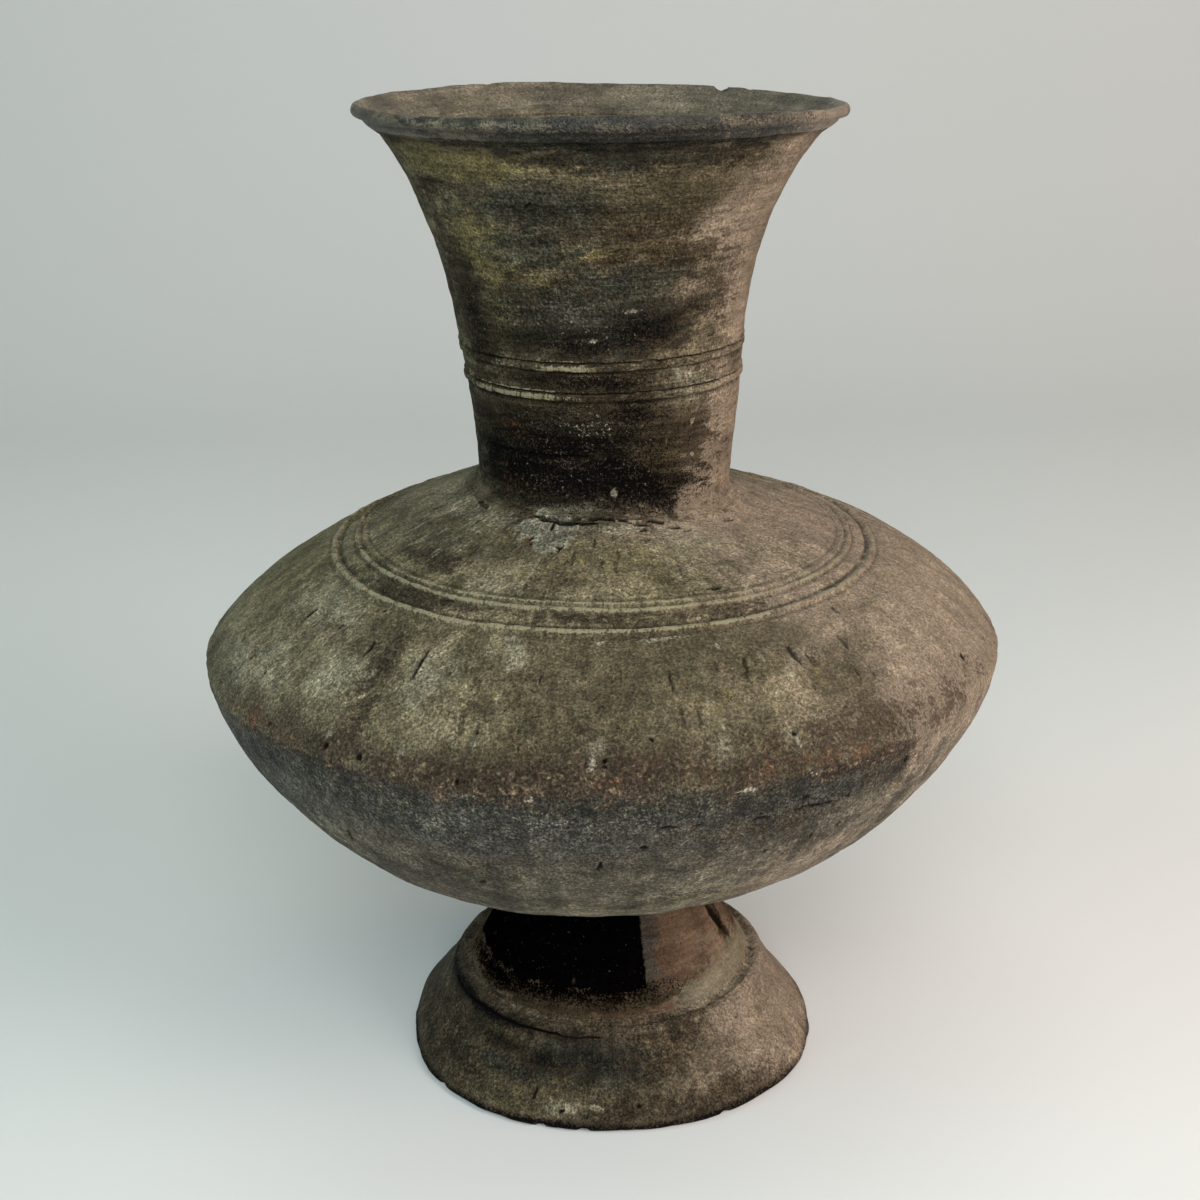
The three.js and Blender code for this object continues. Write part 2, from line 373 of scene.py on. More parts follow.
def slit_relief(theta, s):
    """The cuts, and how deep in one each point is, from 0 to 1, which sets how dark it is painted with shade
    and dirt.
    """
    relief = np.zeros(len(s))
    hollow = np.zeros(len(s))
    for piece, degrees, height, length, width, depth, lean in flat(SLITS):
        reach_up = length / 2 + 2 * width
        near = np.where(abs(s - s_at_height(piece, height)) < reach_up)[0]
        across, up = offsets(theta[near], s[near], piece, degrees, height)
        a = radians(lean)
        run = across * sin(a) + up * cos(a)
        side = across * cos(a) - up * sin(a)
        line = np.column_stack([run, np.full(len(run), degrees), np.zeros(len(run))])
        wander = min(0.45, 0.06 * length)
        side = side + wander * drift(line, 4.0) + 0.3 * drift(line, 1.3)
        taper = np.sqrt(np.clip(1 - (2 * run / length) ** 2, 0, 1))
        half = 0.5 * width * (0.35 + 0.65 * taper)
        cut = np.clip(1.25 - abs(side) / half, 0, 1) * (taper > 0)
        edge = bump(abs(side), 1.5 * half + 0.2, 0.5 * half + 0.15) * taper
        relief[near] += 0.18 * depth * edge - depth * smooth(0, 1, cut)
        dark = min(1.0, 1.2 * depth)
        # How dark the cut is painted with shade and dirt.
        hollow[near] = np.maximum(hollow[near], dark * smooth(0.0, 0.5, cut))
    return relief, hollow


def pit_relief(theta, s, points):
    """The round losses, and how deep in one each point is, which sets how dark it is painted with shade and
    dirt. The wide chips are not painted dark.
    """
    relief = np.zeros(len(s))
    hollow = np.zeros(len(s))
    for piece, degrees, height, radius, depth in flat(PITS):
        near = np.where(abs(s - s_at_height(piece, height)) < 2 * radius)[0]
        across, up = offsets(theta[near], s[near], piece, degrees, height)
        ragged = 1 + 0.4 * grit(points[near], radius * 0.8)
        far = np.hypot(across, up) / (radius * ragged)
        cut = 1 - smooth(0.55, 1.05, far)
        relief[near] -= depth * cut
        # Narrow pits are painted dark with shade and dirt.
        if radius < NARROW:
            hollow[near] = np.maximum(hollow[near], smooth(0.1, 0.6, cut))
    return relief, hollow


def cordon_relief(s, points):
    """Raised lines with the furrows beside them, which are painted dark with shade and dirt, and how much
    each point is a crest.
    """
    crumble = grit(points + 300, 2.2) + 0.6 * grit(points + 340, 1.1)
    worn = 0.65 + 0.35 * smooth(-0.5, 0.5, lumps(points + 300, 9.0) + 0.5 * crumble)
    relief = np.zeros(len(s))
    hollow = np.zeros(len(s))
    crest = np.zeros(len(s))
    for cordon, up, half_width, height in CRESTS:
        gap = abs(s - (cordon + up)) / (half_width * (1 + 0.28 * crumble))
        relief += height * worn * (1 - smooth(0.35, 1.15, gap))
        crest = np.maximum(crest, 1 - smooth(0.4, 0.95, gap))
    for cordon, up, width, depth, dark in FURROWS:
        cut = bump(s + 0.18 * crumble, cordon + up, width)
        relief -= depth * cut
        # The furrow is painted dark with shade and dirt.
        furrow_dirt_and_shade = dark * smooth(0.2, 1.0, cut) * smooth(-1.2, 0.1, crumble)
        hollow = np.maximum(hollow, furrow_dirt_and_shade)
    return relief, hollow, crest


def turning_relief(place, points):
    """Fine rings from turning, strongest on the neck."""
    on_neck = smooth(START["neck"] - 2, START["neck"] + 6, place)
    wheel = np.column_stack([points[:, 0] * 0.03, points[:, 1] * 0.03, place])
    strong = 0.10 * drift(wheel, [1, 1, 2.6]) + 0.05 * drift(wheel + 50, [1, 1, 1.3])
    weak = 0.06 * drift(wheel + 9, [1, 1, 2.0])
    return on_neck * strong + (1 - on_neck) * weak


def beating_relief(theta, place):
    """Flats and upright drags where the bowl was beaten and scraped."""
    bowl = smooth(START["lower_bowl"], START["lower_bowl"] + 30, place)
    bowl *= 1 - smooth(SEAM - 8, SEAM + 2, place)
    turn = np.column_stack([np.sin(theta) * 100, np.cos(theta) * 100, place * 0.25])
    flats = 0.4 * np.minimum(drift(turn + 20, [13, 13, 22]), 0.15)
    drags = 0.09 * drift(turn * [1, 1, 1.5] + 60, [5, 5, 40])
    return bowl * (flats + drags)


def edge_relief(place, points):
    """The seam at the widest ring is a dragged, crumbly edge. The lip and the foot's edge are uneven."""
    seam = bump(place, SEAM + 0.5, 3.2)
    relief = seam * (0.3 + 0.35 * lumps(points + 15, 8.0) + 0.3 * grit(points + 25, 2.6))
    relief += 0.3 * bump(place, START["rim_coil"] + 8, 7) * lumps(points + 5, 10.0)
    relief += 0.4 * bump(place, 2, 4) * lumps(points + 8, 7.0)
    return relief


def relief_at(theta, s, place, points):
    """How far the clay stands off the plain outline, and the marks it carries."""
    relief = sum(height * noise(points + shift, width) for height, width, noise, shift in UNEVEN)
    relief += turning_relief(place, points)
    relief += beating_relief(theta, place)
    relief += edge_relief(place, points)
    relief += CRUST_HEIGHT * crust_mask(theta, place, points)
    hollow = np.zeros(len(s))
    for extra, deep in (slit_relief(theta, place), pit_relief(theta, place, points)):
        relief = relief + extra
        hollow = np.maximum(hollow, deep)
    extra, furrow, crest = cordon_relief(s, points)
    return relief + extra, np.maximum(hollow, furrow), crest


# The form is a little out of true. Its axis wanders left and right with the height.
LEAN_Z = [0, 30, 50, 90, 140, 178, 192, 215, 240, 270, 300]
LEAN_X = [-1.6, -1.2, -1.0, -1.2, -1.2, -0.5, 0.5, 0.9, 0.5, 0.6, 1.7]
# The lip is bent above a height: how far it rises, and the cosines and sines of one and two turns in
# that.
LIP_BEND_Z = (262, 300)
LIP_LIFT = (1.7, 0.45, -1.6, 0.43, 0.55)
# The right side of the shoulder has sunk by this much, over heights where that sets in and dies out.
SINK = 5.5
SINK_BELOW = (164, 188)
SINK_ABOVE = (196, 228)
# The bowl sags around a height: by this much all round, and more on the left and less on the right.
SAG_Z = 88
SAG_REACH = 24
SAG, SAG_LEFT, SAG_RIGHT = 1.5, 0.8, -0.4
# The foot's resting edge is squarish, and longer from front to back: turns, with the cosine's and the
# sine's share of the radius. It lies this far forward, and the skirt is true above these heights.
FOOT_STRETCH = [(2, 0.016, 0.017), (3, -0.010, -0.006), (4, -0.010, 0.0)]
FOOT_FORWARD = 1.8
FOOT_STRETCH_Z = (8, 24)
# What lies within this length of the outline's start may touch the floor.
FLOOR_REACH = 12


def lip_bend(theta):
    mean, cos_1, sin_1, cos_2, sin_2 = LIP_LIFT
    bend = mean + cos_1 * np.cos(theta) + sin_1 * np.sin(theta)
    return bend + cos_2 * np.cos(2 * theta) + sin_2 * np.sin(2 * theta)


def settle(points):
    """Moves points of the true form to where they lie on the real, uneven one."""
    x, y, z = points.T
    theta = np.arctan2(x, -y)
    right = smooth(-0.1, 1.0, np.sin(theta))
    left = smooth(-0.1, 1.0, -np.sin(theta))
    sunk = smooth(*SINK_BELOW, z) * (1 - smooth(*SINK_ABOVE, z))
    drop = SINK * right * sunk + bump(z, SAG_Z, SAG_REACH) * (SAG + SAG_LEFT * left + SAG_RIGHT * right)
    foot = 1 - smooth(*FOOT_STRETCH_Z, z)
    waves = [a * np.cos(turns * theta) + b * np.sin(turns * theta) for turns, a, b in FOOT_STRETCH]
    stretch = 1 + foot * sum(waves)
    moved = np.column_stack([x * stretch, y * stretch - FOOT_FORWARD * foot, z - drop])
    moved[:, 0] += np.interp(z, LEAN_Z, LEAN_X)
    moved[:, 2] += smooth(*LIP_BEND_Z, z) * lip_bend(theta)
    return moved


def ring_shift(theta, s):
    """How far up the outline the shoulder's rings are moved."""
    far, near = RING_BLEND_BELOW
    rings = smooth(OUTER_CORDON - far, OUTER_CORDON - near, s)
    near, far = RING_BLEND_ABOVE
    rings = rings * (1 - smooth(INNER_CORDON - near, INNER_CORDON + far, s))
    return rings * (RING_DROP * np.cos(theta) + RING_SLANT * np.sin(theta))


def skin(theta, s):
    """Points of the worn outside, with their marks and their place along the outline."""
    place = s - ring_shift(theta, s)
    r = np.interp(place, LINE_S, LINE_R)
    z = np.interp(place, LINE_S, LINE_Z)
    points = np.column_stack([r * np.sin(theta), -r * np.cos(theta), z])
    relief, hollow, crest = relief_at(theta, s, place, points)
    r = r + relief * np.interp(place, LINE_S, LINE_NR)
    z = z + relief * np.interp(place, LINE_S, LINE_NZ)
    moved = settle(np.column_stack([r * np.sin(theta), -r * np.cos(theta), z]))
    on_floor = s < FLOOR_REACH
    moved[on_floor, 2] = np.maximum(moved[on_floor, 2], 0)
    return moved, hollow, crest, place


# Firing clouds and deposits, with a few patches of painted light and shade, by piece and layer: angle,
# height, half width, half height, strength.
STAINS = {
    "neck": {
        "char": [
            (0, 294.2, 39, 4, 1.3), (8, 289, 22, 3.6, 0.8), (-19, 277.5, 19, 5.5, 1.1),
            (-21, 267, 13, 6, 0.9), (-2, 247, 26, 9, 1), (12, 257, 16, 4.4, 1), (150, 292, 60, 6, 1),
        ],
        "umber": [
            (10, 289, 24, 4.6, 1.25), (-56, 281, 10, 3, 1.1), (12, 271, 17, 6, 0.8),
            (15, 261, 21, 6, 1.2), (-60, 262, 9, 14, 1), (-55, 247, 11, 14, 1.25), (0, 248, 26, 12, 1.6),
            (14, 255.5, 15, 4.4, 1.6), (-34, 242, 22, 5, 0.9), (-12, 228, 38, 4.5, 1.4),
            (-18, 206, 33, 20, 1.6), (-140, 235, 40, 40, 0.9),
        ],
        "olive": [
            (-40, 287.5, 25, 4.6, 1.5), (-42, 267, 9, 7.5, 1.4), (2, 265, 16, 2.6, 1.1),
            (-28, 257.5, 9, 3.8, 1.5), (-41, 248, 6, 9, 1), (18, 211, 6.5, 5, 1.4),
            (-22, 219, 9, 2.6, 0.8), (-110, 275, 30, 14, 0.8), (125, 228, 20, 10, 0.7),
        ],
        "drab": [(12, 279, 30, 8, 1)],
        "soot_and_shade": [
            (-55, 246, 6, 12, 0.6), (16, 243, 9, 5, 0.7), (-10, 240, 16, 3, 0.7),
            (-8, 228.6, 16, 2.6, 0.75), (-20, 209, 24, 9, 0.85), (8, 219, 9, 4, 0.8),
            (3, 198.5, 22, 7.4, 1.1), (-32, 200.5, 17, 7.5, 1.1), (-34, 206, 19, 1.4, 1.3),
            (-56, 203, 10, 9, 0.9), (165, 255, 50, 24, 0.8), (178, 203, 40, 9, 1),
        ],
        "dust": [(33, 226, 9, 5, 0.8)],
        "rust": [(-46, 197.5, 6, 4, 0.95), (-43, 213, 5, 3, 0.8)],
        "tan": [(72, 209, 27, 18, 1.5), (78, 253, 24, 16, 1.5), (82, 268, 36, 30, 1.3)],
        "pale": [
            (11.5, 248.6, 3, 0.6, 0.8), (-3.5, 240.4, 1.7, 0.8, 0.7), (-11, 215, 10, 6.5, 0.3),
            (-14, 247, 20, 8, 0.26), (-4, 197, 26, 7, 0.2), (4, 194, 0.8, 1.2, 1.1),
            (39, 215.7, 0.7, 0.7, 1.2), (40.5, 207.3, 0.6, 0.5, 1.1),
        ],
        "cream": [
            (-17, 232.6, 9.5, 4, 1.2), (-44, 232.8, 11, 4, 0.72), (13, 232.9, 10, 4, 0.58),
            (50, 232.5, 2.6, 3, 0.95), (72, 232, 14, 4, 0.55), (150, 232.5, 30, 4, 0.8),
            (-40, 223.8, 17, 4, 1.25), (-22, 223.8, 4, 4, 0.6), (12, 223.8, 11, 4, 0.42),
            (42, 223.5, 15, 4, 0.85), (72, 223, 12, 4, 0.7), (-170, 223.8, 34, 4, 0.8),
        ],
    },
    "neck_luting": {
        "dust": [(-17, 190, 9, 2.2, 0.9)],
    },
    "neck_inside": {
        # The dust patch on the left of the mouth's inside is painted light, where light from the right falls
        # on that wall.
        "dust": [(-125, 287, 26, 9, 0.8)],
        "drab": [(180, 282, 120, 16, 0.95)],
        "umber": [(176, 286, 40, 7, 0.42)],
    },
    "rim_coil": {
        "char": [(0, 297, 54, 7, 1.3)],
        "soot_and_shade": [(6, 296, 54, 6, 0.7)],
        "umber": [(0, 297, 52, 7, 0.9), (-46, 297, 40, 7, 0.8)],
        "olive": [(-40, 298, 26, 7, 0.8)],
        "tan": [(64, 298, 34, 9, 0.9)],
    },
    "shoulder": {
        "cream": [(-20, 172, 150, 9, 1.5), (160, 172, 150, 9, 0.9)],
        "rust": [(-23.3, 184.4, 1.6, 2.3, 1.3), (20, 142.8, 50, 2.2, 0.32), (-56, 143, 20, 4, 0.4)],
        "olive": [
            (4, 181.5, 19, 9, 0.55), (17, 158, 5, 4, 0.5), (33, 158, 5, 4, 0.5),
            (-16, 159, 1.5, 1.4, 0.9), (-110, 165, 50, 20, 0.7),
        ],
        "umber": [
            # The low, wide strips at heights 172.2 to 172.8 are painted shade in the furrow above the outer
            # ring.
            (-46, 179, 10, 3, 1.25), (-46, 172.8, 22, 2, 0.9), (-2, 172.6, 16, 2, 0.8),
            (26, 172.2, 18, 2, 0.75), (16.5, 187, 2.4, 2.6, 0.7), (-6, 152, 18, 7, 0.5),
            (-37, 162, 4.5, 13, 1.1), (-35, 152, 4, 7, 0.95), (-19.5, 157, 2.2, 9, 0.55),
            (20, 148, 20, 6, 0.4), (150, 158, 70, 18, 0.9),
        ],
        "drab": [
            (-48, 182, 22, 6, 1.1), (-33, 181, 5, 6, 0.8), (-2, 163, 28, 16, 1.5), (24, 166, 30, 8, 1.3),
            (38, 156, 14, 12, 0.9), (4, 150, 40, 9, 1.1),
        ],
        "char": [(-1, 188.4, 4.5, 2.4, 0.7)],
        "dust": [
            (26, 183, 16, 12, 0.75), (-26, 176.6, 8, 4, 0.7), (-68, 187, 20, 5, 0.6),
            (-28, 161, 6, 8, 1.15), (-43, 157, 8, 8, 1.1), (-57, 153, 9, 7, 1.05),
            (-62, 166, 20, 8, 0.75), (-14.5, 166, 4, 5, 1), (-66, 150, 14, 8, 0.8),
            (-1, 148.2, 2, 4.6, 1.3), (16, 148.3, 2, 3.2, 1.1), (25, 147, 2.4, 4.4, 1.2),
            (1, 187, 10, 2, 0.9),
        ],
        "pale": [
            (-38.3, 146.5, 1.2, 2.4, 0.75), (-26.5, 147, 1, 1.8, 0.7), (-1.6, 147.4, 1, 2.2, 0.8),
            (25.3, 147.4, 1, 2.4, 0.7), (-17, 150.3, 0.9, 1.1, 0.8), (11, 168.9, 7.5, 0.9, 0.68),
            (-16.5, 168.8, 4.5, 1, 0.66), (-20, 166, 3, 4, 0.45), (-0.5, 168.6, 1.2, 0.7, 0.9),
            (19.5, 166.6, 0.6, 1.2, 1), (-15.5, 159, 1, 1.6, 0.6),
        ],
        "tan": [(84, 160, 82, 60, 1.3), (44, 188, 36, 14, 1.4)],
        "grit": [(-10, 144, 96, 5.5, 1.2), (38, 145, 40, 7, 0.8), (180, 144, 200, 5, 0.9)],
        "soot_and_shade": [(-160, 165, 40, 14, 0.55)],
    },
    "lower_bowl": {
        "slate": [
            (-16, 134.5, 88, 6.5, 1.25), (24, 132, 40, 6, 1), (-14, 127, 74, 9, 0.85),
            (-62, 118, 50, 24, 0.8), (180, 130, 130, 9, 0.9),
        ],
        "char": [
            (6, 136, 46, 3.4, 1), (-38, 134, 34, 5, 0.85), (-28, 125, 18, 5, 0.6), (20, 131, 14, 3, 0.6),
            (-64, 117, 16, 8, 0.6),
        ],
        "grit": [(34, 138.6, 28, 2.6, 1.1), (-40, 139.8, 40, 1.2, 0.9)],
        "umber": [(-20, 110, 20, 7, 0.5), (22, 126, 22, 6, 0.6), (38, 132, 14, 7, 0.7)],
        "tan": [(90, 112, 82, 50, 0.75), (32, 95, 34, 24, 0.72)],
        "dust": [
            (0, 86, 34, 10, 0.9), (-52, 104, 24, 12, 0.55), (-44, 112, 12, 6, 0.55),
            (12, 100, 26, 8, 0.5),
        ],
        "olive": [(10, 92, 26, 9, 0.5)],
        "pale": [
            (17.5, 138.4, 2.4, 0.8, 0.95), (-17, 139.3, 2.6, 0.8, 0.7), (-9, 139.4, 1.4, 0.8, 0.8),
            (26.5, 139.4, 2.4, 0.7, 0.7), (-6, 130, 60, 7, 0.3),
        ],
    },
    "foot_stem": {
        "umber": [(-26, 29, 44, 4.5, 1.3), (71, 41, 2.6, 10, 1.3)],
        "soot_and_shade": [(-32, 32, 36, 3.4, 1), (-66, 30, 20, 3.4, 1.1), (165, 42, 40, 14, 0.9)],
        "slate": [(20, 44, 5, 16, 0.8)],
        "rust": [(46, 46, 12, 8, 0.2)],
        "dust": [(66, 28, 26, 6, 0.9), (-14.6, 39.4, 0.35, 2.2, 0.8), (-15.4, 37, 0.4, 1.8, 0.8)],
        "pale": [(-16.2, 35.2, 0.6, 1, 0.55)],
        "tan": [(68, 38, 20, 20, 0.45), (58, 27.5, 32, 4, 0.95)],
    },
    "foot_skirt": {
        "umber": [
            (-22, 22.4, 38, 3, 1.3), (-34, 17, 30, 5, 1.2), (-20, 16, 12, 4.4, 1.5), (0, 18, 18, 7, 1.4),
            (5, 6, 12, 7, 1), (-64, 12, 26, 9, 1.1), (26, 6, 20, 5, 0.7),
        ],
        "soot_and_shade": [
            (-62, 22.4, 34, 2, 1.1), (-19, 16.6, 7, 2.8, 0.7), (-40, 18, 11, 2.2, 0.6),
            # The band low on the resting edge, at height 1.6, is painted shade where the foot meets the
            # floor.
            (-3, 17.5, 8, 4.4, 0.5), (-15, 1.6, 90, 1.3, 1.15), (170, 14, 50, 9, 0.7),
        ],
        "dust": [(44, 23, 30, 3, 0.3), (-14, 6, 9, 3.4, 0.5), (-3.5, 6.8, 3.4, 0.9, 0.9)],
        "drab": [(-14, 14, 46, 14, 1.1)],
        "char": [(-32, 12.6, 14, 2.6, 1), (0, 14.5, 10, 4.5, 0.9), (-6, 19, 14, 5, 0.9)],
        "olive": [
            (-43, 20.2, 6, 1.8, 1.3), (-10.5, 15.8, 2, 3.6, 1.2), (-14, 12.8, 4, 1, 1.1),
            (-26, 7, 18, 5, 0.38), (-56, 4.5, 16, 4, 0.4),
        ],
        "tan": [(80, 16, 48, 15, 1.3)],
    },
}

# Fine strokes left by scraping: layer, piece, angle, height, half spread across and up, how many.
STROKES = [
    ("dust", "shoulder", -56, 182.8, 20, 3.4, 20),
    ("umber", "shoulder", -54, 182.6, 22, 3.6, 18),
    ("umber", "shoulder", 4, 181.0, 22, 4.0, 8),
    ("dust", "shoulder", 6, 181.0, 26, 4.0, 8),
    ("umber", "shoulder", 34, 160, 24, 8.0, 10),
    ("dust", "shoulder", 40, 160, 24, 8.0, 8),
]
STROKE_HALF_WIDTH = 0.55
STROKE_HALF_LENGTH = (1.0, 3.6)
STROKE_STRENGTH = 0.95
# How far a stain's edge wanders, as a share of its size, how fast it fades, and how many of its half
# heights up and down it is worked out.
STAIN_WANDER = 0.4
STAIN_FADE = 0.7
STAIN_REACH = 3.2

# The crust of lime by the neck: piece, angle, height, half width, half height. It ends on the right at
# an angle in degrees.
CRUST = [
    ("shoulder", -19.2, 186.8, 10.2, 7.2),
    ("shoulder", -16.5, 184.4, 5.6, 5.0),
]
CRUST_EDGE = -9.0
# The burnt patch, which has straight edges: piece, angle, height, half width, half height, and how
# uneven its edges are. How soft they are, and how strong it is.
BURNT = ("foot_stem", -38.5, 48, 34.0, 16.6, 1.5)
BURNT_SOFT = 0.5
BURNT_STRENGTH = 1.45

LAYERS = ("soot_and_shade", "char", "umber", "rust", "olive", "tan", "pale", "slate", "crust", "cream", "dust",
          "grit", "drab")


def all_stains():
    """Every stain as layer, piece, angle, height, half width, half height and strength. The strokes are
    scattered the same way on every run."""
    entries = [(layer, piece, *mark) for piece, layers in STAINS.items()
               for layer, marks in layers.items() for mark in marks]
    rng = np.random.default_rng(5)
    shortest, longest = STROKE_HALF_LENGTH
    for layer, piece, degrees, height, across, up, count in STROKES:
        draws = rng.uniform([-across, -up, shortest], [across, up, longest], (count, 3))
        for turn, rise, half_length in draws:
            size = STROKE_HALF_WIDTH, half_length
            entries.append((layer, piece, degrees + turn, height + rise, *size, STROKE_STRENGTH))
    return entries


ALL_STAINS = all_stains()


def block_mask(theta, place, points, piece, degrees, height, half_width, half_height, uneven):
    """1 inside a patch with straight edges, a half on its edge and 0 outside."""
    across, up = offsets(theta, place, piece, degrees, height)
    ragged = uneven * (grit(points + 120, 4.5) + 0.5 * grit(points + 150, 1.8))
    right = half_width - across + 0.25 * ragged
    others = np.minimum(half_width + across, half_height - abs(up)) + ragged
    return np.clip(0.5 + np.minimum(right, others) / (2 * BURNT_SOFT), 0, 1)


def crust_mask(theta, place, points):
    """1 on the crust by the neck and 0 beside it."""
    mask = np.zeros(len(place))
    ragged = 0.3 * grit(points + 120, 4.5) + 0.2 * grit(points + 150, 1.8)
    for piece, degrees, height, half_width, half_height in CRUST:
        across, up = offsets(theta, place, piece, degrees, height)
        far = np.hypot(across / half_width, up / half_height) + ragged
        mask = np.maximum(mask, 1 - smooth(0.85, 1.15, far))
    return mask * (1 - smooth(radians(CRUST_EDGE) - 0.01, radians(CRUST_EDGE) + 0.01, theta))


def stains(theta, place, points):
    """How much of each layer lies on each point, from 0 to 1, with a half at a patch's edge."""
    wander_x = lumps(points + 500, 18.0) + 0.5 * lumps(points + 560, 7.0)
    wander_up = lumps(points + 700, 18.0) + 0.5 * lumps(points + 760, 7.0)
    layers = {name: np.zeros(len(place)) for name in LAYERS}
    for layer, piece, degrees, height, half_width, half_height, strength in ALL_STAINS:
        near = np.where(abs(place - s_at_height(piece, height)) < STAIN_REACH * half_height)[0]
        if len(near) == 0:
            continue
        across, up = offsets(theta[near], place[near], piece, degrees, height)
        across = across + STAIN_WANDER * half_width * wander_x[near]
        up = up + STAIN_WANDER * half_height * wander_up[near]
        far = (across / half_width) ** 2 + (up / half_height) ** 2
        mask = strength * np.exp(-STAIN_FADE * far)
        layers[layer][near] = np.maximum(layers[layer][near], mask)
    layers["crust"] = crust_mask(theta, place, points)
    burnt = BURNT_STRENGTH * block_mask(theta, place, points, *BURNT)
    layers["soot_and_shade"] = np.maximum(layers["soot_and_shade"], burnt)
    return layers


# What each colour attribute of a mesh carries in its red, green and blue.
CHANNELS = {
    "stain_a": ("soot_and_shade", "char", "umber"),
    "stain_b": ("rust", "olive", "tan"),
    "stain_c": ("pale", "slate", "crust"),
    "stain_d": ("hollow", "crest", "cream"),
    "stain_e": ("dust", "grit", "drab"),
}

# Meshes.

# The spacing of rows and columns at narrow marks.
FINE = 0.4
# Into how many parts a span of rows and a ring of columns are cut while they are spaced out.
ROW_PARTS = 2000
COLUMN_PARTS = 20000
# The columns widen between these angles, towards the back.
BACK_FROM = (80, 115)


def marks_of(piece):
    """A piece's cuts and pits: angles, places along the outline, and half sizes across and up."""
    found = []
    for degrees, height, length, width, _, lean in SLITS.get(piece, []):
        half = (0.5 * width, 0.5 * length) if abs(lean) < 45 else (0.5 * length, 0.5 * width)
        found.append((degrees, s_at_height(piece, height), *half))
    for degrees, height, radius, _ in PITS.get(piece, []):
        found.append((degrees, s_at_height(piece, height), radius, radius))
    return found


def closed_up(gaps, far, half, fine):
    """The gaps between rows or columns, closed up around a narrow mark."""
    return np.minimum(gaps, fine + np.maximum(gaps - fine, 0) * smooth(half + 0.6, half + 3, far))


def spread(places, gaps, ring=False):
    """Picks places that lie about the given gaps apart. Around a ring the last one is left out."""
    total = np.concatenate([[0], np.cumsum(np.diff(places) / gaps[:-1])])
    count = int(np.ceil(total[-1]))
    picks = np.arange(count if ring else count + 1) * total[-1] / count
    return np.interp(picks, total, places)


def shown_rows(piece, *spans):
    """Rows of the worn outside: spans of start, end and spacing."""
    rows = []
    for start, end, spacing in spans:
        s = np.linspace(start, end, ROW_PARTS + 1)
        gaps = np.full(len(s), spacing)
        for degrees, middle, _, half in marks_of(piece):
            if half < NARROW:
                far = abs(s - ring_shift(radians(degrees), s) - middle)
                gaps = closed_up(gaps, far, half, min(FINE, spacing))
        fresh = list(spread(s, gaps))
        rows += fresh[1:] if rows and abs(rows[-1] - fresh[0]) < 1e-6 else fresh
    return [("shown", value) for value in rows]


def hidden_rows(*points):
    """Rows that nobody sees, each a radius and a height."""
    return [("hidden", point) for point in points]


def columns(piece, radius, front, back):
    """Angles of a piece's columns. They are spaced in millimetres on its widest circle, wider at the
    back and closest at narrow marks."""
    turn = np.linspace(-pi, pi, COLUMN_PARTS + 1)
    gaps = front + (back - front) * smooth(*np.radians(BACK_FROM), abs(turn))
    for degrees, s, half, _ in marks_of(piece):
        if half < NARROW:
            wider = radius / np.interp(s, LINE_S, LINE_R)
            far = abs(turn - radians(degrees)) * radius / wider
            gaps = closed_up(gaps, far, half, min(FINE * wider, front))
    return spread(turn * radius, gaps, ring=True) / radius


def paint(mesh, name, kind, values):
    made = mesh.attributes.new(name, kind, "POINT")
    made.data.foreach_set("color" if kind == "FLOAT_COLOR" else "value", values.astype(np.float32).ravel())


def clay_points(turns, section):
    """A piece's points, row by row, with their layers and marks and their places along the outline."""
    width = len(turns)
    count = len(section)
    theta = np.tile(turns, count)
    xyz = np.zeros((count * width, 3))
    marks = {layer: np.zeros(count * width) for layer in LAYERS + ("hollow", "crest")}
    along = np.zeros(count * width)
    shown = np.repeat([kind == "shown" for kind, _ in section], width)
    s = np.repeat([value if kind == "shown" else 0.0 for kind, value in section], width)
    xyz[shown], marks["hollow"][shown], marks["crest"][shown], along[shown] = skin(theta[shown], s[shown])
    for layer, values in stains(theta[shown], along[shown], xyz[shown]).items():
        marks[layer][shown] = values
    for row, (kind, value) in enumerate(section):
        if kind == "hidden":
            ring = slice(row * width, (row + 1) * width)
            r, z = value
            xyz[ring] = settle(np.column_stack([r * np.sin(turns), -r * np.cos(turns), np.full(width, z)]))
            along[ring] = z
    return xyz, marks, along


def ring_faces(count, width, closed):
    """Four-sided faces between the rows, and from the last to the first where the section is closed."""
    pairs = [(row, row + 1) for row in range(count - 1)]
    if closed:
        pairs.append((count - 1, 0))
    here = np.arange(width)
    after = (here + 1) % width
    return np.concatenate([
        np.column_stack([a * width + here, a * width + after, b * width + after, b * width + here])
        for a, b in pairs])


def make_piece(name, turns, section, material):
    """A ring or a bowl of clay from its section, which runs up the outside and down the inside. The
    section is closed unless it starts and ends on the axis."""
    xyz, marks, along = clay_points(turns, section)
    on_axis = section[0][0] == "hidden" and section[0][1][0] == 0
    faces = ring_faces(len(section), len(turns), closed=not on_axis)
    mesh = bpy.data.meshes.new(name)
    mesh.from_pydata((xyz * MM).tolist(), [], faces.tolist())
    for attribute, layers in CHANNELS.items():
        colours = np.ones((len(xyz), 4))
        for channel, layer in enumerate(layers):
            colours[:, channel] = marks[layer]
        paint(mesh, attribute, "FLOAT_COLOR", colours)
    paint(mesh, "along", "FLOAT", along)
    finish_mesh(mesh, weld=on_axis)
    mesh.materials.append(material)
    piece = bpy.data.objects.new(name, mesh)
    bpy.context.scene.collection.objects.link(piece)
    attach(piece, "root")
    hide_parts(name)
    return piece


